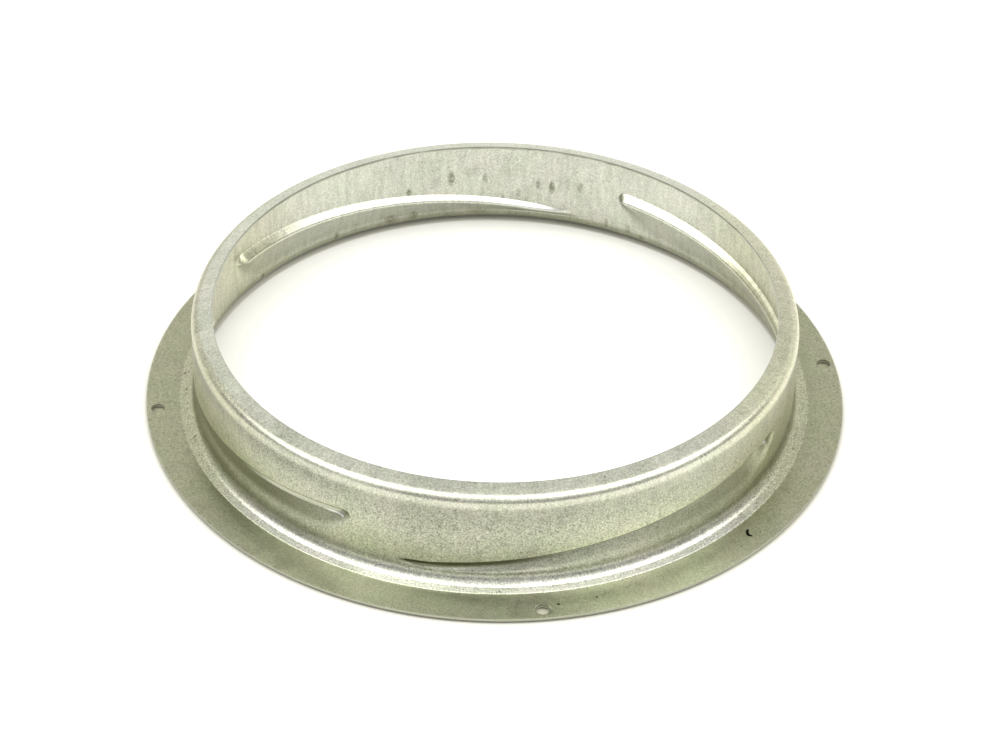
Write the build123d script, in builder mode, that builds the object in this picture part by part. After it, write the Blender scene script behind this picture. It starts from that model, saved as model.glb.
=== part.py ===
from build123d import *
import math
import os

# Pressed ring of zinc-coated sheet that holds a twist-in air valve at the end of a round duct.
# It lies on its flange, with the collar upwards. Origin: axis of the ring, underside of the flange.

# Sheet and overall sizes, mm
sheet = 0.7
collar_diameter = 159.0  # outside of the wall, slips into a 160 mm duct
height = 28.5  # underside of the flange to the top of the lip
flange_width = 13.0  # beyond the outside of the wall
fold_radius = 3.5  # outside, between wall and flange

# Rim at the top: a slightly tapered neck and a lip turned inwards
rim_height = 3.9  # from the shoulder of the wall to the top of the lip
lip_width = 5.5  # from the outside of the wall to the edge of the opening
neck_taper = 17.0  # degrees from upright
lip_rise = 15.0  # degrees from level, rising to the opening
shoulder_bend = 0.5  # radius inside the sheet
rim_bend = 1.8  # radius inside the sheet

# Screw holes in the flange
hole_count = 4
hole_diameter = 3.5
hole_inset = 3.0  # from the edge of the flange to the middle of a hole
hole_angle = 8.2

# Beads pressed inwards: ramps that the lugs of the valve climb
bead_count = 4
bead_angle = 64.0  # high end of the first bead
bead_span = 82.0  # degrees, turning clockwise on the way down
bead_depth = 2.6  # at the high end
bead_run_depth = 1.0  # where the run-out begins
bead_run_out = 10.0  # degrees over which the low end fades into the wall
bead_high = 14.5  # height of the crest at the high end
bead_low = 0.6  # height of the crest at the low end, above the fold
bead_ledge = 35.0  # slope of the upper side, degrees from level
bead_fall_high = 2.4  # fall of the lower side for each mm of depth, at the high end
bead_fall_low = 1.5  # the same at the low end
bead_crest = 0.5  # radius of the crest on the hollow side
bead_nose = 2.2  # length of the blunt nose at the high end
bead_nose_height = 3.0  # of the flat front of the nose
bead_sink = 0.15  # how far both ends lie under the skin of the wall
hollow_reach = 1.0  # how far the cutter for the hollow stands outside the wall
bead_stations = 7  # sections along the main run

# Worked out from the sizes above
collar_radius = collar_diameter / 2
inner_radius = collar_radius - sheet
middle_radius = collar_radius - sheet / 2
flange_radius = collar_radius + flange_width
opening_radius = collar_radius - lip_width
fold_top = sheet + fold_radius
shoulder_height = height - rim_height
neck_slope = math.tan(math.radians(neck_taper))
lip_slope = math.tan(math.radians(lip_rise))
rim_inset = (rim_height - lip_width * lip_slope) * neck_slope / (1 - lip_slope * neck_slope)
rim_top = height - (lip_width - rim_inset) * lip_slope
run_start = 1 - bead_run_out / bead_span

# The hollow is the ridge moved out and down, so that one sheet thickness stays between them
ledge_tilt = math.radians(bead_ledge)
lower_tilt = math.atan(1 / bead_fall_high)
hollow_scale = sheet / math.cos(ledge_tilt - lower_tilt)
hollow_out = hollow_scale * (math.cos(ledge_tilt) + math.sin(lower_tilt))
hollow_down = hollow_scale * (math.cos(lower_tilt) - math.sin(ledge_tilt))


def depth_at(share):
    if share < run_start:
        return bead_depth + (bead_run_depth - bead_depth) * share / run_start
    return bead_run_depth - (bead_run_depth + bead_sink) * (share - run_start) / (1 - run_start)


def crest_height_at(share):
    return bead_high + (fold_top + bead_low - bead_high) * share


def fall_at(share):
    return bead_fall_high + (bead_fall_low - bead_fall_high) * share


# A three-sided section with a rounded crest, in the upright plane at an angle around the axis
def bead_section(angle, top, crest, foot, crest_radius):
    turn = math.radians(angle)
    outwards = (math.cos(turn), math.sin(turn), 0)
    sideways = (math.sin(turn), -math.cos(turn), 0)
    with BuildSketch(Plane(origin=(0, 0, 0), x_dir=outwards, z_dir=sideways)) as section:
        with BuildLine():
            FilletPolyline(top, crest, foot, radius=crest_radius)
            Line(foot, top)
        make_face()
    return section.sketch


# One bead as a solid, with its high end at angle 0: the ridge inside, or the hollow behind it
def make_bead(base_radius, out, down, crest_radius):
    full_reach = base_radius - (inner_radius - bead_depth + out)
    main_shares = [run_start * i / (bead_stations - 1) for i in range(bead_stations)]
    run = []
    for share in main_shares + [(run_start + 1) / 2, 1]:
        crest = (inner_radius - depth_at(share) + out, crest_height_at(share) - down)
        reach = base_radius - crest[0]
        top = (base_radius, crest[1] + reach * math.tan(ledge_tilt))
        foot = (base_radius, crest[1] - reach * fall_at(share))
        rounding = crest_radius * reach / full_reach
        run.append(bead_section(-bead_span * share, top, crest, foot, rounding))
    nose_crest = (inner_radius + bead_sink + out, bead_high - down)
    nose_top = (base_radius, nose_crest[1] + bead_nose_height / 2)
    nose_foot = (base_radius, nose_crest[1] - bead_nose_height / 2)
    nose_rounding = crest_radius * (base_radius - nose_crest[0]) / full_reach
    nose_angle = math.degrees(bead_nose / inner_radius)
    nose = bead_section(nose_angle, nose_top, nose_crest, nose_foot, nose_rounding)
    with BuildPart() as bead:
        loft(run)
        loft([run[0], nose], ruled=True)
    return bead.part


ridge = make_bead(middle_radius, 0, 0, bead_crest + sheet)
hollow = make_bead(collar_radius + hollow_reach, hollow_out, hollow_down, bead_crest)

with BuildPart() as mounting_frame:
    with BuildSketch(Plane.XZ):
        with BuildLine():
            FilletPolyline(
                (flange_radius, sheet),
                (collar_radius, sheet),
                (collar_radius, shoulder_height),
                (collar_radius - rim_inset, rim_top),
                (opening_radius, height),
                radius=[fold_radius, shoulder_bend + sheet, rim_bend + sheet],
            )
            offset(amount=sheet, side=Side.LEFT)
        make_face()
    revolve(axis=Axis.Z)
    with PolarLocations(0, bead_count, start_angle=bead_angle):
        add(ridge)
        add(hollow, mode=Mode.SUBTRACT)
    with PolarLocations(flange_radius - hole_inset, hole_count, start_angle=hole_angle):
        Hole(hole_diameter / 2)

mounting_frame.part.label = "mounting_frame"

os.makedirs("parts", exist_ok=True)
export_step(mounting_frame.part, "parts/mounting_frame.step")
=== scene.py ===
import bpy
import math
import numpy as np
from mathutils import Matrix, Vector
from types import SimpleNamespace


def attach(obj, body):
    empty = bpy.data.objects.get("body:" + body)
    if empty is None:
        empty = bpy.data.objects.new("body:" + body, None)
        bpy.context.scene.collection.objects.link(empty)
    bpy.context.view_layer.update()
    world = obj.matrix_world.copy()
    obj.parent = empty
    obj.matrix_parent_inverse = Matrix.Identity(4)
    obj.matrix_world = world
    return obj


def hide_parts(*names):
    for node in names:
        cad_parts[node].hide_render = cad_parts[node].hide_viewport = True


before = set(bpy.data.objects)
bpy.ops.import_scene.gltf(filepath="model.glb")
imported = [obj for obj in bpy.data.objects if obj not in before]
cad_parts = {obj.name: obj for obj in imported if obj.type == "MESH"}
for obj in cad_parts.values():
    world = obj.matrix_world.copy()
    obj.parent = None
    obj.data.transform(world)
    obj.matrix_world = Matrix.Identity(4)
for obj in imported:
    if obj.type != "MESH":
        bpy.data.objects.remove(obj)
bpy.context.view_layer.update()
scene = bpy.context.scene
scene.view_settings.view_transform = "Standard"
mm = 0.001
print("frame loaded:", sorted(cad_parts))


# The pressed ring. Sizes in mm and degrees, as in the solid model.
ringSize = {
    "sheet": 0.7,
    "flangeRadius": 92.5,
    "wallRadius": 79.5,
    "foldRadius": 3.5,
    "shoulderHeight": 24.6,
    "height": 28.5,
    "openingRadius": 74.0,
    "neckTaper": 10.0,
    "lipRise": 15.0,
    "shoulderRound": 1.2,
    "rimRound": 2.5,
    "coinedStep": 0.16,           # the fold stands this much above the flange
    "coinedOuter": 83.45,
    "coinedInner": 83.15,
    "flangeRows": (92.5, 92.15, 91.3, 90.4, 89.5, 88.6, 87.7, 86.6, 85.4, 84.3, 83.7),   # radii
    "columns": 576,               # around the ring, closer together at the bead noses
    "crowding": 0.6,
    "crowdedAt": 1.2,             # degrees beyond the high end of a bead
    "collarShift": (-0.3, 0.0),   # the collar isn't quite in the middle of the flange
    "shiftFade": (82.0, 86.0),    # radii between which the collar goes over into the flange
    "wave": 0.05,                 # how far the sheet is out of true
    "radiusWaves": ((2, 1.1, 1.0), (3, 0.4, 0.6), (5, 2.2, 0.4)),   # count, phase, share
    "heightWaves": ((3, 0.9, 1.0), (7, 0.0, 0.5)),
    "edgeBevel": 0.12,
    "bevelAngle": 55.0,
    "smoothAngle": 38.0,
}

beadSize = {
    "count": 4,
    "highAngle": 62.3,
    "span": 80.5,
    "runOut": 13.0,
    "depth": 2.25,                # on the outside, at the high end
    "runDepth": 1.25,
    "crestHigh": 14.1,
    "crestLow": 3.9,
    "crestSag": 0.2,              # the crest falls a little faster towards its low end
    "crestFloor": 5.0,            # rows of the mesh stay above the fold
    "ledge": 38.0,
    "slopeHigh": 1.6,             # power of the curve below the crest, at the high end
    "slopeLow": 1.2,
    "topRound": 0.8,
    "crestRound": 0.35,
    "nose": 2.6,
    "noseSlant": 1.9,             # lower down, the nose is longer by this much for each mm
    "noseAbove": 0.25,            # share of that slant above the crest
    "noseBlunt": 0.75,
    "noseGentle": 3.0,            # this far below the crest the nose is no longer blunt
}

holeSize = {
    "count": 4,
    "firstAngle": 8.2,
    "circleRadius": 89.5,
    "diameter": 3.5,
    "sides": 40,
    "drillLength": 6.0,
}


def deselectAll():
    if bpy.context.object and bpy.context.object.mode != "OBJECT":
        bpy.ops.object.mode_set(mode="OBJECT")
    bpy.ops.object.select_all(action="DESELECT")


def smoothStep(value, low, high):
    share = np.clip((value - low) / (high - low), 0, 1)
    return share * share * (3 - 2 * share)


# A point on the rounding of a corner, for pairs of (radius, height)
def roundCorner(corner, towards, away, radius, share):
    corner, towards, away = (np.asarray(v, float) for v in (corner, towards, away))
    radius = np.asarray(radius, float)[..., None]
    turn = np.arccos(np.clip((towards * away).sum(-1, keepdims=True), -1, 1))
    side = away - towards * np.cos(turn)
    side = side / np.maximum(np.linalg.norm(side, axis=-1, keepdims=True), 1e-9)
    start = corner - towards * radius * np.tan(turn / 2)
    return start + radius * (np.sin(share * turn) * towards + (1 - np.cos(share * turn)) * side)


def between(low, high, steps):
    return [low + (high - low) * (i + 1) / (steps + 1) for i in range(steps)]


# Rows of the wall with the parts of a bead, spread evenly; pressBead gives them their places
def layWall(s):
    parts = [("slope", v) for v in between(0, 1, 13)]
    parts += [("crest", v / 5) for v in range(6)]
    parts += [("ledge", v) for v in (0.08, 0.5, 0.92)]
    parts += [("top", v / 5) for v in range(6)]
    parts += [("upper", v) for v in between(0, 1, 6)]
    heights = between(s["sheet"] + s["foldRadius"], s["shoulderHeight"] - 0.5, len(parts))
    return [(part, share, s["wallRadius"], z) for (part, share), z in zip(parts, heights)]


# Rows of the neck and the lip
def layRim(s):
    taper, rise = math.radians(s["neckTaper"]), math.radians(s["lipRise"])
    lipWidth = s["wallRadius"] - s["openingRadius"]
    rimHeight = s["height"] - s["shoulderHeight"]
    crossing = 1 - math.tan(rise) * math.tan(taper)
    inset = (rimHeight - lipWidth * math.tan(rise)) * math.tan(taper) / crossing
    rim = (s["wallRadius"] - inset, s["height"] - (lipWidth - inset) * math.tan(rise))
    shoulder = (s["wallRadius"], s["shoulderHeight"])
    up, neck, lip = (0, 1), (-math.sin(taper), math.cos(taper)), (-math.cos(rise), math.sin(rise))
    shares = (0, 0.25, 0.5, 0.75, 1)
    places = [roundCorner(shoulder, up, neck, s["shoulderRound"], v) for v in shares]
    places.append((places[-1] + roundCorner(rim, neck, lip, s["rimRound"], 0)) / 2)
    places += [roundCorner(rim, neck, lip, s["rimRound"], v / 9) for v in range(10)]
    lipStart, lipEnd = places[-1], np.array((s["openingRadius"], s["height"]))
    places += [lipStart + (lipEnd - lipStart) * v for v in (0.25, 0.5, 0.75, 0.93, 1)]
    return [("rim", 0, radius, height) for radius, height in places]


# Rows of the sheet's outer skin, from the flange edge to the lip edge: part, share, radius, height
def layRows(s):
    rows = [("flange", 0, radius, s["sheet"]) for radius in s["flangeRows"]]
    for share in (0, 0.5, 1):
        radius = s["coinedOuter"] + (s["coinedInner"] - s["coinedOuter"]) * share
        rows.append(("step", share, radius, s["sheet"] + s["coinedStep"] * share))
    foldCorner = (s["wallRadius"], s["sheet"])
    for share in between(0.2, 1.0, 9) + [1.0]:
        radius, height = roundCorner(foldCorner, (-1, 0), (0, 1), s["foldRadius"], share)
        lowest = s["sheet"] + s["coinedStep"] * (1 + 0.2 * share)
        rows.append(("fold", share, radius, max(height, lowest)))
    return rows + layWall(s) + layRim(s)


# Extrudes the selected ring of edges to the next row
def drawRing(rowNow, rowNext):
    rise = (rowNext[3] - rowNow[3]) * mm
    bpy.ops.mesh.extrude_region_move(TRANSFORM_OT_translate={"value": (0, 0, rise)})
    ratio = rowNext[2] / rowNow[2]
    bpy.ops.transform.resize(value=(ratio, ratio, 1), center_override=(0, 0, 0))


def drawSkin(rows, columns):
    deselectAll()
    bpy.ops.mesh.primitive_circle_add(vertices=columns, radius=rows[0][2] * mm, fill_type="NOTHING",
                                      location=(0, 0, rows[0][3] * mm))
    skin = bpy.context.object
    skin.name = skin.data.name = "mountingFrame"
    bpy.ops.object.transform_apply(location=True, rotation=True, scale=True)
    bpy.ops.object.mode_set(mode="EDIT")
    bpy.ops.mesh.select_mode(type="EDGE")
    bpy.ops.mesh.select_all(action="SELECT")
    for rowNow, rowNext in zip(rows, rows[1:]):
        drawRing(rowNow, rowNext)
    bpy.ops.mesh.select_all(action="SELECT")
    bpy.ops.mesh.normals_make_consistent(inside=False)
    bpy.ops.object.mode_set(mode="OBJECT")
    flangeFace = max(skin.data.polygons, key=lambda f: f.center.to_2d().length)
    if flangeFace.normal.z < 0:
        bpy.ops.object.mode_set(mode="EDIT")
        bpy.ops.mesh.select_all(action="SELECT")
        bpy.ops.mesh.flip_normals()
        bpy.ops.object.mode_set(mode="OBJECT")
    return skin


# How much of a bead's depth is pressed in: nothing beyond the nose and the run-out
def pressedShare(past, level, crest, b, s):
    repeat = 360 / b["count"]
    noseAngle = math.degrees(b["nose"] / s["wallRadius"])
    below = np.maximum(crest - level, 0)
    aside = below + b["noseAbove"] * np.maximum(level - crest, 0)
    after = np.where(past > repeat - noseAngle - 0.3, past - repeat, past)
    lead = (after + noseAngle) / (noseAngle + np.degrees(b["noseSlant"] * aside / s["wallRadius"]))
    smooth = smoothStep(np.clip(lead, 0, 1), 0, 1)
    blunt = smooth ** b["noseBlunt"]
    gentle = np.clip(below / b["noseGentle"], 0, 1)
    fade = 1 - smoothStep(past, b["span"] - b["runOut"], b["span"])
    return (blunt + (smooth - blunt) * gentle) * np.where(after < 0, 1, fade)


# Where a point of a given row lies at an angle past the high end of its bead: inwards, height
def pressBead(row, past, b, s, wallTop):
    part, share = row[:2]
    noseAngle = math.degrees(b["nose"] / s["wallRadius"])
    foldTop = s["sheet"] + s["foldRadius"]
    climb = smoothStep(past, b["span"] - 0.5, 360 / b["count"] - noseAngle - 0.4)
    along = np.clip(past / b["span"], 0, 1)
    drop = along * (1 - b["crestSag"] + b["crestSag"] * along)
    crest = np.maximum(b["crestHigh"] + (b["crestLow"] - b["crestHigh"]) * drop, b["crestFloor"])
    crest = crest + (b["crestHigh"] - crest) * climb
    depth = b["depth"] + (b["runDepth"] - b["depth"]) * along * (1 - climb)
    size = depth / b["depth"]
    power = b["slopeHigh"] + (b["slopeLow"] - b["slopeHigh"]) * along * (1 - climb)
    fall = (crest - foldTop) / (depth * power)
    zero = np.zeros_like(past)
    peak = np.stack([depth, crest], -1)
    top = np.stack([zero, crest + depth * math.tan(math.radians(b["ledge"]))], -1)
    up = np.stack([zero, zero + 1], -1)
    slope = np.stack([zero + 1, fall], -1) / np.hypot(1, fall)[..., None]
    ledge = (top - peak) / np.linalg.norm(top - peak, axis=-1, keepdims=True)
    crestArc = (peak, slope, ledge, b["crestRound"] * size)
    topArc = (top, ledge, up, b["topRound"] * size)
    if part == "upper":
        end = roundCorner(*topArc, 1)[..., 1]
        return zero, end + (wallTop - end) * share
    if part == "slope":
        start = roundCorner(*crestArc, 0)
        level = foldTop + (start[..., 1] - foldTop) * share
        inwards = start[..., 0] * share ** power
    else:
        if part == "ledge":
            spot = roundCorner(*crestArc, 1) * (1 - share) + roundCorner(*topArc, 0) * share
        else:
            spot = roundCorner(*(crestArc if part == "crest" else topArc), share)
        inwards, level = spot[..., 0], spot[..., 1]
    return inwards * pressedShare(past, level, crest, b, s), level


def addWaves(turn, waves):
    return sum(share * np.sin(count * turn + phase) for count, phase, share in waves)


# Gives every point of the skin its final place
def shapeSkin(skin, rows, s, b):
    points = np.empty(len(skin.data.vertices) * 3)
    skin.data.vertices.foreach_get("co", points)
    points = points.reshape(-1, 3) / mm
    flat = np.hypot(points[:, 0], points[:, 1])
    rowPlace = np.array([(row[2], row[3]) for row in rows])
    apart = np.abs(flat[:, None] - rowPlace[:, 0]) + np.abs(points[:, 2, None] - rowPlace[:, 1])
    rowOf = np.argmin(apart, 1)
    turn = np.arctan2(points[:, 1], points[:, 0])
    dense = math.radians(b["highAngle"] + s["crowdedAt"])
    turn = turn - s["crowding"] / b["count"] * np.sin(b["count"] * (turn - dense))
    past = np.mod(b["highAngle"] - np.degrees(turn), 360 / b["count"])
    radius, height = rowPlace[rowOf, 0].copy(), rowPlace[rowOf, 1].copy()
    wallTop = next(row[3] for row in rows if row[0] == "rim")
    for index, row in enumerate(rows):
        if row[0] in ("flange", "step", "fold", "rim"):
            continue
        here = rowOf == index
        inwards, level = pressBead(row, past[here], b, s, wallTop)
        radius[here] = s["wallRadius"] - inwards
        height[here] = level
    onFlange = smoothStep(radius, *s["shiftFade"])
    radiusMost = sum(share for count, phase, share in s["radiusWaves"])
    heightMost = sum(share for count, phase, share in s["heightWaves"])
    inOut = addWaves(turn, s["radiusWaves"]) - radiusMost
    upDown = addWaves(turn, s["heightWaves"]) + heightMost
    radius = radius + s["wave"] * inOut * (1 - 0.7 * onFlange)
    height = height + 0.5 * s["wave"] * upDown * onFlange
    points[:, 0] = radius * np.cos(turn) + s["collarShift"][0] * (1 - onFlange)
    points[:, 1] = radius * np.sin(turn) + s["collarShift"][1] * (1 - onFlange)
    points[:, 2] = height
    skin.data.vertices.foreach_set("co", (points * mm).ravel())
    skin.data.update()


def applyModifier(piece, kind, **settings):
    modifier = piece.modifiers.new(kind.lower(), kind)
    for name, value in settings.items():
        setattr(modifier, name, value)
    deselectAll()
    bpy.context.view_layer.objects.active = piece
    piece.select_set(True)
    bpy.ops.object.modifier_apply(modifier=modifier.name)


def holeSpots(h):
    angles = [math.radians(h["firstAngle"] + 360 / h["count"] * i) for i in range(h["count"])]
    return [(h["circleRadius"] * math.cos(v), h["circleRadius"] * math.sin(v)) for v in angles]


def makeDrill(h):
    deselectAll()
    drills = []
    for x, y in holeSpots(h):
        bpy.ops.mesh.primitive_cylinder_add(vertices=h["sides"], radius=h["diameter"] / 2 * mm,
                                            depth=h["drillLength"] * mm, location=(x * mm, y * mm, 0))
        drills.append(bpy.context.object)
    for drill in drills:
        drill.select_set(True)
    bpy.context.view_layer.objects.active = drills[0]
    bpy.ops.object.join()
    bpy.ops.object.transform_apply(location=True, rotation=True, scale=True)
    return bpy.context.object


ringRows = layRows(ringSize)
mountingFrame = drawSkin(ringRows, ringSize["columns"])
print("skin drawn:", len(mountingFrame.data.vertices), "points")
shapeSkin(mountingFrame, ringRows, ringSize, beadSize)
applyModifier(mountingFrame, "SOLIDIFY", thickness=ringSize["sheet"] * mm, offset=-1, use_even_offset=True)
drill = makeDrill(holeSize)
applyModifier(mountingFrame, "BOOLEAN", operation="DIFFERENCE", solver="EXACT", object=drill)
bpy.data.objects.remove(drill)
applyModifier(mountingFrame, "BEVEL", width=ringSize["edgeBevel"] * mm, segments=2, limit_method="ANGLE",
              angle_limit=math.radians(ringSize["bevelAngle"]))
bpy.ops.object.shade_smooth_by_angle(angle=math.radians(ringSize["smoothAngle"]))
triangles = sum(len(f.vertices) - 2 for f in mountingFrame.data.polygons)
print("frame shaped:", triangles, "triangles")


# A socket that can be used in sums
class Wire:
    def __init__(self, tree, socket=None):
        self.tree = tree
        self.socket = socket

    def add(self, kind, settings=None, sockets=None, out=0):
        node = self.tree.nodes.new(kind)
        for name, value in (settings or {}).items():
            setattr(node, name, value)
        for name, value in (sockets or {}).items():
            if isinstance(value, Wire):
                self.tree.links.new(value.socket, node.inputs[name])
            else:
                node.inputs[name].default_value = value
        return Wire(self.tree, node.outputs[out] if len(node.outputs) else None)

    def maths(self, operation, *values, clamp=False):
        settings = {"operation": operation, "use_clamp": clamp}
        return self.add("ShaderNodeMath", settings, dict(enumerate(values)))

    def __add__(self, other):
        return self.maths("ADD", self, other)

    def __radd__(self, other):
        return self.maths("ADD", other, self)

    def __sub__(self, other):
        return self.maths("SUBTRACT", self, other)

    def __rsub__(self, other):
        return self.maths("SUBTRACT", other, self)

    def __mul__(self, other):
        return self.maths("MULTIPLY", self, other)

    def __rmul__(self, other):
        return self.maths("MULTIPLY", other, self)

    def __truediv__(self, other):
        return self.maths("DIVIDE", self, other)

    def __rtruediv__(self, other):
        return self.maths("DIVIDE", other, self)

    def __pow__(self, other):
        return self.maths("POWER", self, other)

    def __rpow__(self, other):
        return self.maths("POWER", other, self)

    def clamped(self):
        return self.maths("ADD", self, 0.0, clamp=True)

    def ramp(self, low, high):   # 0 below low, 1 above high, smooth between
        return self.add("ShaderNodeMapRange", {"interpolation_type": "SMOOTHSTEP"},
                        {"Value": self, "From Min": low, "From Max": high})

    def within(self, low, full, fading, gone):   # rises from low to full, falls from fading to gone
        return self.ramp(low, full) * (1 - self.ramp(fading, gone))

    def mix(self, share, first, second):
        return self.add("ShaderNodeMix", {"data_type": "RGBA"}, {0: share, 6: first, 7: second}, out=2)

    def vector(self, operation, sockets, out=0):
        return self.add("ShaderNodeVectorMath", {"operation": operation}, sockets, out)

    def axes(self, vector):
        outputs = self.add("ShaderNodeSeparateXYZ", None, {"Vector": vector}).socket.node.outputs
        return [Wire(self.tree, output) for output in outputs]

    def noise(self, vector, scale, detail, rough=0.5):
        return self.add("ShaderNodeTexNoise", None,
                        {"Vector": vector, "Scale": scale, "Detail": detail, "Roughness": rough})


def newMaterial(name):
    material = bpy.data.materials.new(name)
    material.use_nodes = True
    material.node_tree.nodes.clear()
    return material, Wire(material.node_tree)


zincLook = {
    # Tones of one zinc, set lighter or darker for each part as painted light and shade; the ledge tone is
    # a painted highlight
    "rim": (0.60, 0.61, 0.51, 1),
    "wall": (0.485, 0.50, 0.405, 1),
    "inner": (0.555, 0.57, 0.505, 1),
    "ledge": (0.72, 0.73, 0.61, 1),
    "fold": (0.56, 0.565, 0.50, 1),
    "flange": (0.48, 0.495, 0.385, 1),
    "greener": (0.98, 1.0, 0.95, 1),
    "pinker": (1.02, 0.99, 1.0, 1),
    # painted shade at the left and right sides
    "shadeAtSides": (0.965, 0.945, 0.84, 1),
    "lipEdge": (0.50, 0.51, 0.43, 1),
    "flangeEdge": (0.40, 0.41, 0.33, 1),
    "cutSteelAndShade": (0.20, 0.205, 0.16, 1),
    # dark colour of the smudges and of the painted shade
    "dirtAndShade": (0.10, 0.105, 0.045, 1),
    "grooveSheen": (0.43, 0.44, 0.345, 1),   # painted light band at the bottom of each groove, standing in for a reflection
    "grooveSheenHeight": 1.25,               # mm from the crest down to the lower edge of that strip
    # painted glint at the groove noses and painted highlight on the run-out of the inner ridges
    "glint": (0.95, 0.95, 0.90, 1),
    "pit": (0.015, 0.015, 0.01, 1),
    "roughness": 0.33,
    "grain": 0.0035,                  # height of the grain in mm
    "fineTone": 1.5,                  # how strongly each kind of grain shows in the tone
    "coarseTone": 0.35,
    "patchTone": 0.25,
    "cloudTone": 0.25,
    "streakTone": 0.3,
    "grime": 0.32,
    # dark smudges on the inner wall: angle, height, half width, half height in mm, strength
    "smudges": [
        (73, 14.5, 1.0, 2.0, 0.35), (79, 13, 1.0, 2.4, 0.5), (82, 13.5, 0.8, 2.0, 0.35),
        (86, 10, 0.8, 2.0, 0.3), (93, 14.5, 0.9, 2.0, 0.35), (100, 15, 1.2, 3.0, 0.4),
        (109, 12, 1.0, 1.4, 0.45), (145.5, 3, 0.9, 1.4, 0.22), (125.5, 3.5, 0.9, 1.6, 0.25),
        (113, 4, 2.4, 1.8, 0.2), (108, 4, 1.6, 1.8, 0.22), (94, 3.5, 2.4, 1.5, 0.15),
        (67, 4.5, 0.8, 1.8, 0.2), (62, 4.5, 0.8, 1.8, 0.2), (59, 3, 0.8, 1.4, 0.2),
        (96, 17, 3.0, 2.0, 0.12), (104, 14, 2.6, 3.0, 0.1), (88, 17, 3.5, 2.2, 0.1),
        (76, 15, 3.0, 3.0, 0.1),
    ],
    # small pits and specks on the flange and fold: x, y, radius in mm, strength
    "specks": [
        (64.3, -57.1, 0.36, 1), (64.2, -57.8, 0.48, 1), (64.3, -58.6, 0.5, 1), (64.6, -59.1, 0.4, 1),
        (65.15, -59.2, 0.32, 1), (67.5, -57.6, 0.25, 0.7), (62.4, -63.2, 0.25, 0.7),
        (-81.8, -4.8, 0.3, 0.7), (-83.0, 2.4, 0.45, 0.6), (16.6, -86.4, 0.4, 0.8),
        (2.1, -82.5, 0.25, 0.6), (90.7, 3.1, 0.3, 0.5), (87.6, 23.5, 0.25, 0.5),
        (-90.4, -17.8, 0.3, 0.6), (26.0, -83.5, 0.3, 0.8), (-77.7, -24.6, 0.3, 0.8),
    ],
}


# Measures in mm and degrees, and masks for the parts of the ring
def measureRing(start, s, b):
    at = SimpleNamespace()
    at.place = start.add("ShaderNodeTexCoord", out=3)
    at.x, at.y, at.z = (axis * (1 / mm) for axis in start.axes(at.place))
    fromCollar = at.x - s["collarShift"][0]
    at.radius = (at.x * at.x + at.y * at.y) ** 0.5
    at.collarRadius = (fromCollar * fromCollar + at.y * at.y) ** 0.5
    at.angle = start.maths("ARCTAN2", at.y, at.x) * (180 / math.pi)
    at.rightwards = fromCollar / at.collarRadius
    at.leftwards = 0.0 - at.rightwards
    at.forwards = (0.0 - at.y) / at.collarRadius
    at.backwards = 0.0 - at.forwards
    faced = start.add("ShaderNodeTexCoord", out=1)
    at.faceUp = start.axes(faced)[2]
    outwards = start.add("ShaderNodeCombineXYZ", None, {0: at.x, 1: at.y, 2: 0.0})
    at.inside = 1 - start.vector("DOT_PRODUCT", {0: faced, 1: outwards}, out=1).ramp(-2.0, 2.0)
    at.outside = 1 - at.inside
    at.onFlange = at.radius.ramp(83.0, 83.6)
    at.onLip = at.z.ramp(26.2, 27.2) * (1 - at.collarRadius.ramp(77.0, 78.0))
    at.offLip = (1 - at.onLip) * at.outside
    at.lower = 1 - at.z.ramp(20, 22)
    at.sunk = s["wallRadius"] - at.collarRadius
    at.raised = s["wallRadius"] - s["sheet"] - at.collarRadius
    at.onRidge = at.raised.ramp(0.2, 0.5) * at.inside * at.lower
    at.past = start.maths("FLOORED_MODULO", b["highAngle"] - at.angle, 360 / b["count"])
    share = at.past / b["span"]
    drop = share * (1 - b["crestSag"] + share * b["crestSag"])
    at.beneath = b["crestHigh"] + drop * (b["crestLow"] - b["crestHigh"]) - at.z
    at.highEnd = 1 - at.past.ramp(15, 28)
    at.notRight = 1 - at.rightwards.ramp(0.5, 0.75)
    return at


def weighed(masks):
    total = 0.0
    for mask, weight in masks:
        total = mask * weight + total
    return total


# Painted light and shade: the zinc at a lighter or darker tone for each part, with a painted highlight on
# the upward faces of the inner ridges and on the fold at the front
def zincToneWithPaintedLight(start, at, look):
    zone = start.mix(at.inside, look["wall"], look["inner"])
    zone = start.mix(at.faceUp.ramp(0.4, 0.65) * at.inside, zone, look["ledge"])
    zone = start.mix(at.z.ramp(23.5, 25.5) * at.outside, zone, look["rim"])
    zone = start.mix(at.onLip, zone, look["rim"])
    bend = start.mix(at.forwards.ramp(0.3, 0.75), look["flange"], look["fold"])
    zone = start.mix(1 - at.z.ramp(1.0, 6.0), zone, bend)
    return start.mix(at.radius.ramp(82.9, 83.3), zone, look["flange"])
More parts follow.
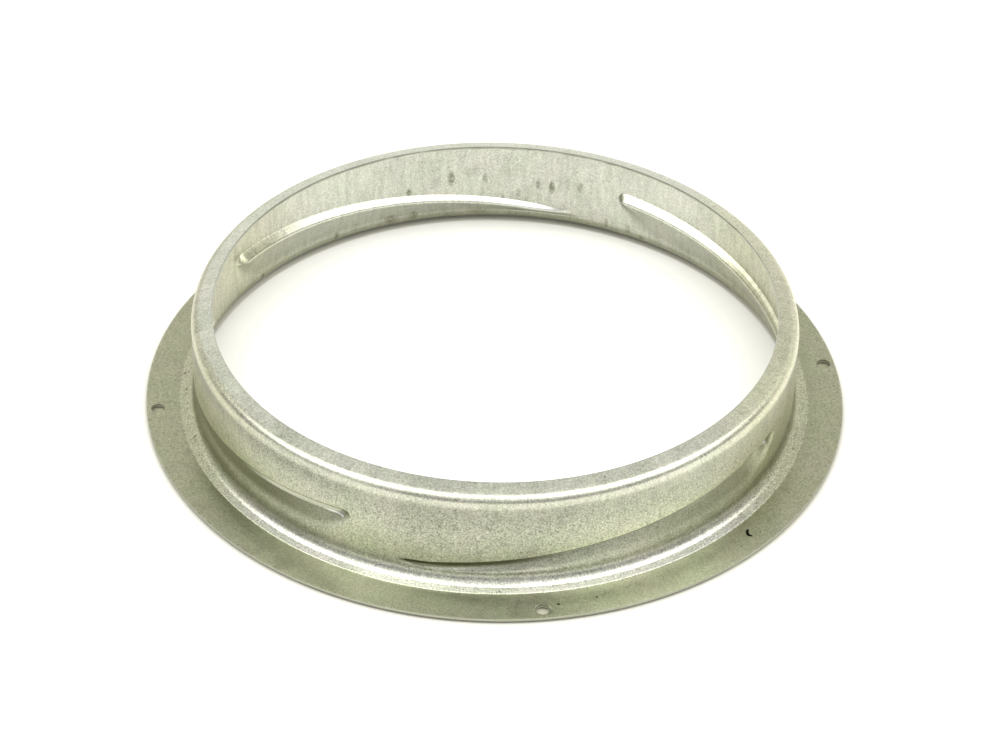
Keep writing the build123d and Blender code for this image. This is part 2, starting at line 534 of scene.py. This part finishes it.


# Painted highlights and painted shade: how much lighter or darker the parts are made, as seen from the
# front
def paintedLightByPlace(at):
    foot = 1 - at.z.ramp(5, 9)
    onBend = at.faceUp.within(0.3, 0.5, 0.75, 0.9) * at.z.ramp(24.6, 25.2) * at.outside
    atBack = at.backwards.ramp(0.8, 0.97) * at.inside
    onFront = at.onFlange * at.forwards.ramp(0.4, 0.7)
    return weighed([
        (at.rightwards.ramp(0.7, 0.95) * foot, -0.14),
        (at.leftwards.ramp(0.7, 0.95) * foot, -0.1),
        (at.forwards.ramp(0.6, 0.9) * at.onFlange, 0.12),
        (at.z.within(12, 22, 23.5, 25) * at.outside, -0.2),
        (at.leftwards.ramp(0.3, 0.6) * at.z.ramp(19, 23) * at.offLip, -0.22),
        (at.forwards.ramp(0.9, 0.99) * at.z.ramp(8, 13) * at.outside, -0.13),
        (at.rightwards.ramp(0.9, 0.99) * at.onLip, -0.15),
        (onBend * at.leftwards.within(0.25, 0.45, 0.62, 0.8), 0.4),
        (atBack, -0.09),
        (atBack * at.z.ramp(24.5, 25.5), 0.35),
        (at.faceUp.ramp(0.15, 0.4) * at.onRidge * at.leftwards.ramp(0.7, 0.82), -0.28),
        (at.faceUp.within(0.0, 0.15, 0.5, 0.65) * at.onRidge, 0.4),
        (at.rightwards.within(0.12, 0.35, 0.55, 0.8) * onFront, 0.38),
        (at.leftwards.within(0.2, 0.4, 0.6, 0.85) * onFront, 0.08),
    ])


# Spots on the inner wall
def smudgeMarks(at, look, coarse, innerRadius):
    broken = at.inside * (1 - at.onFlange) * (0.5 + coarse.ramp(0.35, 0.6) * 0.8)
    marks = []
    for turn, height, halfWidth, halfHeight, strength in look["smudges"]:
        across = (at.angle - turn) * (math.radians(innerRadius) / halfWidth)
        along = (at.z - height) / halfHeight
        spot = (1.1 - across * across - along * along).clamped()
        marks.append((spot * broken, 1.3 * strength))
    return marks


# Painted shade in the grooves, under and at the foot of the ridges, on down-facing parts, towards the
# bottom of the inner wall and above the fold, and dark speckles on the lip
def shadeAndSpeckleMarks(start, at, strip):
    speckled = 1 - start.noise(at.place, 1300, 1.0).ramp(0.36, 0.46)
    ledgeFoot = at.raised.ramp(0.6, 1.1) * at.faceUp.ramp(0.1, 0.3) * at.onRidge
    underLedge = (0.0 - at.faceUp).ramp(0.0, 0.2) * at.inside * at.lower
    rightNose = (1 - at.notRight) * (1 - at.past.ramp(2, 9))
    groove = at.sunk.ramp(0.05, 1.0) * at.outside * at.lower * (1 - strip) * (1 - rightNose * 0.6)
    faceDown = (0.0 - at.faceUp) * at.outside * at.lower
    onRight = at.rightwards.ramp(0.72, 0.92) * at.z.within(3, 5, 9, 18) * at.outside
    lowEnd = at.past.within(44, 60, 78, 81) * at.outside * at.lower
    lowLine = lowEnd * (1 - (at.beneath - 0.8).ramp(-0.4, 0.4)) * at.sunk.ramp(0.12, 0.35)
    foldTop = at.z.within(1.8, 2.6, 4.5, 7) * at.outside
    return [
        (at.onLip * speckled, 0.12),
        (ledgeFoot * at.rightwards.ramp(0.76, 0.9), 0.5),
        (ledgeFoot * at.leftwards.ramp(0.76, 0.86), 0.2),
        (underLedge, 0.28),
        (at.inside * (1 - at.z.ramp(2, 10)), 0.16),
        (groove, 0.25),
        (groove * at.leftwards.ramp(0.3, 0.75), 0.6),
        (groove * at.rightwards.ramp(0.3, 0.75), 0.4),
        (onRight, 0.13),
        (faceDown.ramp(0.03, 0.2) * (0.85 - at.highEnd * 0.35) * at.notRight, 1.0),
        (lowLine, 0.7),
        (foldTop * at.leftwards.ramp(0.4, 0.65), 0.5),
        (foldTop * at.rightwards.ramp(0.35, 0.6), 0.28),
    ]


def awayFrom(at, x, y):
    across = at.x - x
    along = at.y - y
    return (across * across + along * along) ** 0.5


def makeZinc(look, s, b, h):
    material, start = newMaterial("zinc")
    at = measureRing(start, s, b)
    fine = start.noise(at.place, 2300, 1.0)
    coarse = start.noise(at.place, 950, 2)
    patch = start.noise(at.place, 150, 3, 0.6)
    cloud = start.noise(at.place, 45, 3, 0.6)
    tint = start.noise(at.place, 90, 3, 0.65)
    rolled = {0: at.angle * 0.9, 1: at.z * 0.12, 2: at.inside * 5}
    streak = start.noise(start.add("ShaderNodeCombineXYZ", None, rolled), 1.0, 3, 0.6)

    upperWall = at.z.ramp(17, 22) * at.offLip
    calm = weighed([(at.inside, 0.4), (at.onLip, 0.4), (at.onFlange, 0.1), (upperWall, 0.3)])
    grain = weighed([(fine - 0.5, look["fineTone"]), (coarse - 0.5, look["coarseTone"])]) * (1 - calm)
    uneven = weighed([(patch - 0.5, look["patchTone"]), (cloud - 0.5, look["cloudTone"])])
    streaks = (streak - 0.5) * (1 + at.inside) * (1 - at.onFlange) * look["streakTone"]
    # grain, uneven tone and streaks are the zinc's own; the rest is painted light and shade
    shade = 1 + grain + uneven + streaks + paintedLightByPlace(at)
    tinted = start.mix(tint.ramp(0.3, 0.7), look["greener"], look["pinker"])
    base = start.vector("MULTIPLY", {0: zincToneWithPaintedLight(start, at, look), 1: tinted})
    base = start.vector("SCALE", {0: base, "Scale": shade})
    # Painted shade: the left and right sides are made darker and yellower
    shadedSides = (at.rightwards * at.rightwards).ramp(0.4, 0.8)
    shadedSides = shadedSides * (1 - at.onLip * at.leftwards.ramp(0.3, 0.5))
    base = start.vector("MULTIPLY", {0: base, 1: start.mix(shadedSides, (1, 1, 1, 1), look["shadeAtSides"])})

    # painted light strip at the bottom of the groove, a painted glint at its nose, and a painted highlight
    # on the run-out of the ridge
    belowStrip = at.beneath - look["grooveSheenHeight"]
    inGroove = at.sunk.ramp(0.1, 0.4) * at.outside * at.lower
    strip = inGroove * (1 - belowStrip.ramp(-0.2, 0.2)) * at.highEnd * at.notRight
    base = start.mix(strip * 0.7, base, look["grooveSheen"])
    glintLine = 1 - start.maths("ABSOLUTE", belowStrip).ramp(0.05, 0.3)
    base = start.mix(glintLine * (1 - at.past.ramp(2.5, 5)) * inGroove, base, look["glint"])
    runOut = at.faceUp.ramp(0.1, 0.3) * at.past.within(58, 64, 80, 82) * at.inside * at.lower
    base = start.mix(runOut * at.raised.ramp(0.1, 0.35), base, look["glint"])

    innerRadius = s["wallRadius"] - s["sheet"]
    # real smudges and lip speckles together with painted shade, all in one dark colour
    dirtAndShade = weighed(shadeAndSpeckleMarks(start, at, strip) + smudgeMarks(at, look, coarse, innerRadius))
    grime = at.onFlange * cloud.ramp(0.5, 0.72) * patch.ramp(0.4, 0.6) * look["grime"]
    colour = start.mix((dirtAndShade + grime).clamped(), base, look["dirtAndShade"])
    pits = weighed([(1 - awayFrom(at, x, y).ramp(size * 0.7, size * 1.3), strength)
                    for x, y, size, strength in look["specks"]])
    pits = (pits * (1 - at.z.ramp(6, 7))).clamped()
    colour = start.mix(pits * at.faceUp.ramp(0.0, 0.15), colour, look["pit"])
    holeRadius = h["diameter"] / 2
    cut = weighed([(1 - awayFrom(at, x, y).ramp(holeRadius + 0.03, holeRadius + 0.15), 1.0)
                   for x, y in holeSpots(h)]).clamped()
    # hole walls: dark cut steel at the top edge, partly painted shade, and the lighter rim tone lower down
    colour = start.mix(cut, colour, start.mix(at.z.ramp(0.4, 0.6), look["rim"], look["cutSteelAndShade"]))
    edge = at.radius.ramp(s["flangeRadius"] - 0.2, s["flangeRadius"] - 0.08)
    colour = start.mix(edge, colour, look["flangeEdge"])
    edge = 1 - at.collarRadius.ramp(s["openingRadius"] - 0.05, s["openingRadius"] + 0.2)
    colour = start.mix(edge, colour, look["lipEdge"])

    rough = look["roughness"] + weighed([(patch - 0.5, 0.12), (fine - 0.5, 0.2), (cut, 0.25), (dirtAndShade, 0.2)])
    bump = start.add("ShaderNodeBump", None,
                     {"Strength": 1.0, "Distance": mm, "Height": (fine + coarse * 0.8) * look["grain"]})
    surface = start.add("ShaderNodeBsdfPrincipled", None,
                        {"Base Color": colour, "Metallic": 1.0, "Roughness": rough, "Normal": bump})
    start.add("ShaderNodeOutputMaterial", None, {"Surface": surface})
    return material


mountingFrame.data.materials.clear()
mountingFrame.data.materials.append(makeZinc(zincLook, ringSize, beadSize, holeSize))
print("zinc made")

studio = {
    "floorColour": (0.97, 0.958, 0.91, 1),
    "shadeColour": (0.60, 0.585, 0.49, 1),   # of the paper under the flange and close to it
    "shadeBand": (79.3, 80.3, 91.5, 95.5),   # radii in mm
    "holeShadowColour": (0.34, 0.335, 0.21, 1),    # painted shadow on the paper seen through the holes
    "holeShadowBand": (85.5, 87.0, 91.3, 92.0),
    "holeShadowFront": 0.35,                  # the painted shadow is lighter at the front by this share
    "floorSize": 12.0,
    "floorDrop": 0.6,                   # mm below the flange, which isn't quite flat
    "floorLift": 0.05,                  # light of its own, seen by the camera and in reflections
    "panelSize": (1.5, 1.0),
    "panelPlace": (0.78, -0.22, 1.0),   # one on each side
    "panelTurn": 20.0,
    "panelPower": 9.5,
    "roomFront": 0.45,
    "roomAbove": 0.6,                   # added to the front, higher up
    "roomBack": 0.5,
    "sweep": 0.6,                       # white paper that rises behind the object
}


def makeFloor(look):
    deselectAll()
    bpy.ops.mesh.primitive_plane_add(size=look["floorSize"], location=(0, 0, -look["floorDrop"] * mm))
    floor = bpy.context.object
    floor.name = "floor"
    bpy.ops.object.transform_apply(location=True, rotation=True, scale=True)
    material, start = newMaterial("floorPaper")
    ray = start.add("ShaderNodeLightPath").socket.node.outputs
    kinds = ("Is Camera Ray", "Is Glossy Ray", "Is Transmission Ray")
    seen = weighed([(Wire(start.tree, ray[kind]), 1.0) for kind in kinds]).clamped()
    place = start.add("ShaderNodeTexCoord", out=3)
    radius = start.vector("LENGTH", {0: place}, out=1) * (1 / mm)
    forwards = (0.0 - start.axes(place)[1] * (1 / mm)) / radius
    tone = start.mix(radius.within(*look["shadeBand"]), look["floorColour"], look["shadeColour"])
    # painted shadow on the paper under the holes
    holeShadow = radius.within(*look["holeShadowBand"]) * (1 - forwards.ramp(0.5, 0.9) * look["holeShadowFront"])
    tone = start.mix(holeShadow, tone, look["holeShadowColour"])
    paper = start.add("ShaderNodeBsdfPrincipled", None, {
        "Base Color": tone, "Roughness": 1.0, "Specular IOR Level": 0.0,
        "Emission Color": seen * look["floorLift"], "Emission Strength": 1.0})
    start.add("ShaderNodeOutputMaterial", None, {"Surface": paper})
    floor.data.materials.append(material)
    return floor


def makePanels(look):
    for side, name in ((-1, "panelLeft"), (1, "panelRight")):
        deselectAll()
        across, along, up = look["panelPlace"]
        bpy.ops.object.light_add(type="AREA", location=(side * across, along, up),
                                 rotation=(0, 0, side * math.radians(look["panelTurn"])))
        panel = bpy.context.object
        panel.name = name
        panel.data.shape = "RECTANGLE"
        panel.data.size, panel.data.size_y = look["panelSize"]
        panel.data.energy = look["panelPower"]


def makeRoom(look):
    world = bpy.data.worlds.new("studioRoom")
    world.use_nodes = True
    world.node_tree.nodes.clear()
    scene.world = world
    start = Wire(world.node_tree)
    towardsBack, upwards = start.axes(start.add("ShaderNodeTexCoord"))[1:]
    front = look["roomFront"] + upwards.ramp(0.35, 0.65) * look["roomAbove"]
    back = towardsBack.ramp(-0.1, 0.5)
    room = front * (1 - back) + back * look["roomBack"]
    level = room + towardsBack.ramp(0.15, 0.5) * (1 - upwards.ramp(0.64, 0.8)) * look["sweep"]
    shown = start.add("ShaderNodeBackground", None, {"Color": level, "Strength": 1.0})
    start.add("ShaderNodeOutputWorld", None, {"Surface": shown})


makeFloor(studio)
makePanels(studio)
makeRoom(studio)
print("studio lit")

viewFrom = {
    "distance": 0.7955,
    "elevation": 37.782,
    "lens": 107.26,
    "sensor": 36.0,
    "pan": -0.0907,
    "tilt": 0.2528,
    "roll": 1.2321,
}


def placeCamera(v):
    deselectAll()
    lift = math.radians(v["elevation"])
    spot = Vector((0, -math.cos(lift), math.sin(lift))) * v["distance"]
    aim = Matrix.Rotation(math.pi / 2 - lift, 4, "X")
    for name, axis in (("pan", "Y"), ("tilt", "X"), ("roll", "Z")):
        aim = aim @ Matrix.Rotation(math.radians(v[name]), 4, axis)
    bpy.ops.object.camera_add()
    camera = bpy.context.object
    camera.name = "photoView"
    camera.matrix_world = Matrix.Translation(spot) @ aim
    camera.data.lens = v["lens"]
    camera.data.sensor_width = v["sensor"]
    scene.camera = camera


placeCamera(viewFrom)

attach(mountingFrame, "root")
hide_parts("mounting_frame")
